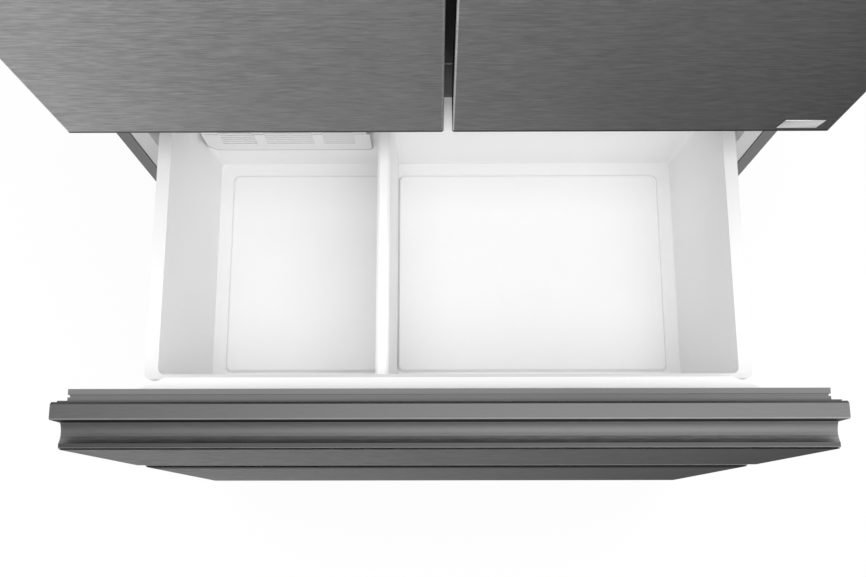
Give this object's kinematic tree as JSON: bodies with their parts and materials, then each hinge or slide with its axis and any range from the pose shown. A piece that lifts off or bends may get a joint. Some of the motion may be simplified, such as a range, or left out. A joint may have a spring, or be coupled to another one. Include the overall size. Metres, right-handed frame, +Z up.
{
  "type": "bottom freezer refrigerator",
  "caption": "Free-standing brushed-steel refrigerator with hinged upper doors over pull-out freezer drawers, which stand open.",
  "frame": {"origin": "on the floor under the middle of the box that holds the refrigerator with its drawers out", "axes": "+Z up, -Y towards the front, +X to the right"},
  "size_m": [0.908, 1.1066, 1.829],
  "materials": {
    "brushed_steel": "satin",
    "trim_steel": "satin",
    "cabinet_paint": "satin",
    "white_plastic": "satin",
    "liner_plastic": "satin",
    "clear_plastic": "gloss",
    "grey_plastic": "matte",
    "black_plastic": "matte",
    "gasket_rubber": "matte",
    "foam": "matte",
    "bare_steel": "satin",
    "aluminium": "satin",
    "black_steel": "satin",
    "shelf_glass": "gloss",
    "lens": "satin"
  },
  "bodies": {
    "cabinet": {"air_duct": "white_plastic", "back_panel": "bare_steel", "base_frame": "bare_steel", "cabinet_foam": "foam", "cabinet_shell": "cabinet_paint", "compressor": "black_steel", "condenser": "aluminium", "condenser_fan_bracket": "black_plastic", "crispers": "clear_plastic", "cross_beams": "cabinet_paint", "door_hinges": "bare_steel", "drain_pan": "black_plastic", "evaporator": "aluminium", "evaporator_fan_bracket": "black_plastic", "fixed_slides": "bare_steel", "freezer_back_cover": "white_plastic", "freezer_liner": "liner_plastic", "fridge_liner": "liner_plastic", "light_lens": "lens", "machine_cover": "bare_steel", "shelf_frames": "white_plastic", "shelf_glass": "shelf_glass", "toe_grille": "grey_plastic", "top_hinge_covers": "grey_plastic"},
    "left_door": {"left_door_skin": "brushed_steel", "left_door_foam": "foam", "left_door_caps": "grey_plastic", "left_door_liner": "liner_plastic", "left_door_gasket": "gasket_rubber", "left_door_bins": "clear_plastic"},
    "right_door": {"right_door_skin": "brushed_steel", "right_door_foam": "foam", "right_door_caps": "grey_plastic", "right_door_liner": "liner_plastic", "right_door_gasket": "gasket_rubber", "right_door_bins": "clear_plastic"},
    "flip_mullion": {"flip_mullion": "grey_plastic"},
    "upper_drawer": {"upper_front_trim": "trim_steel", "upper_front_skin": "brushed_steel", "upper_front_foam": "foam", "upper_front_liner": "liner_plastic", "upper_gasket": "gasket_rubber", "upper_box": "white_plastic", "upper_inner_slides": "bare_steel", "upper_divider": "white_plastic"},
    "lower_drawer": {"lower_front_trim": "trim_steel", "lower_front_skin": "brushed_steel", "lower_front_foam": "foam", "lower_front_liner": "liner_plastic", "lower_gasket": "gasket_rubber", "lower_box": "white_plastic", "lower_inner_slides": "bare_steel"},
    "upper_slide_middle": {"upper_middle_slides": "bare_steel"},
    "lower_slide_middle": {"lower_middle_slides": "bare_steel"},
    "condenser_fan": {"condenser_fan": "black_plastic"},
    "evaporator_fan": {"evaporator_fan": "black_plastic"},
    "roller_left": {"roller_left": "black_plastic"},
    "roller_right": {"roller_right": "black_plastic"},
    "foot_left": {"foot_left": "black_plastic"},
    "foot_right": {"foot_right": "black_plastic"}
  },
  "joints": [
    {"name": "left_door_swing", "type": "hinge", "parent": "cabinet", "child": "left_door", "pos_m": [-0.44, -0.15175, 1.3], "axis": [0, 0, 1], "range_deg": [-120, 0]},
    {"name": "right_door_swing", "type": "hinge", "parent": "cabinet", "child": "right_door", "pos_m": [0.44, -0.15175, 1.3], "axis": [0, 0, 1], "range_deg": [0, 120]},
    {"name": "mullion_fold", "type": "hinge", "parent": "left_door", "child": "flip_mullion", "pos_m": [-0.038, -0.10225, 1.3], "axis": [0, 0, 1], "range_deg": [0, 90]},
    {"name": "upper_drawer_slide", "type": "slide", "parent": "cabinet", "child": "upper_drawer", "axis": [0, -1, 0], "range_m": [-0.3715, 0.08]},
    {"name": "upper_middle_slide", "type": "slide", "parent": "cabinet", "child": "upper_slide_middle", "axis": [0, -1, 0], "range_m": [-0.18575, 0.04]},
    {"name": "lower_drawer_slide", "type": "slide", "parent": "cabinet", "child": "lower_drawer", "axis": [0, -1, 0], "range_m": [-0.3715, 0.08]},
    {"name": "lower_middle_slide", "type": "slide", "parent": "cabinet", "child": "lower_slide_middle", "axis": [0, -1, 0], "range_m": [-0.18575, 0.04]},
    {"name": "condenser_fan_spin", "type": "hinge", "parent": "cabinet", "child": "condenser_fan", "pos_m": [-0.058, 0.43225, 0.126], "axis": [1, 0, 0], "continuous": true},
    {"name": "evaporator_fan_spin", "type": "hinge", "parent": "cabinet", "child": "evaporator_fan", "pos_m": [0, 0.43525, 0.7], "axis": [0, 1, 0], "continuous": true},
    {"name": "roller_left_spin", "type": "hinge", "parent": "cabinet", "child": "roller_left", "pos_m": [-0.405, 0.47725, 0.022], "axis": [1, 0, 0], "continuous": true},
    {"name": "roller_right_spin", "type": "hinge", "parent": "cabinet", "child": "roller_right", "pos_m": [0.405, 0.47725, 0.022], "axis": [1, 0, 0], "continuous": true},
    {"name": "foot_left_turn", "type": "hinge", "parent": "cabinet", "child": "foot_left", "pos_m": [-0.412, -0.08475, 0.02], "axis": [0, 0, 1], "continuous": true},
    {"name": "foot_right_turn", "type": "hinge", "parent": "cabinet", "child": "foot_right", "pos_m": [0.412, -0.08475, 0.02], "axis": [0, 0, 1], "continuous": true}
  ],
  "couplings": [
    {"joint": "upper_middle_slide", "follows": "upper_drawer_slide", "ratio": 0.5},
    {"joint": "lower_middle_slide", "follows": "lower_drawer_slide", "ratio": 0.5}
  ]
}
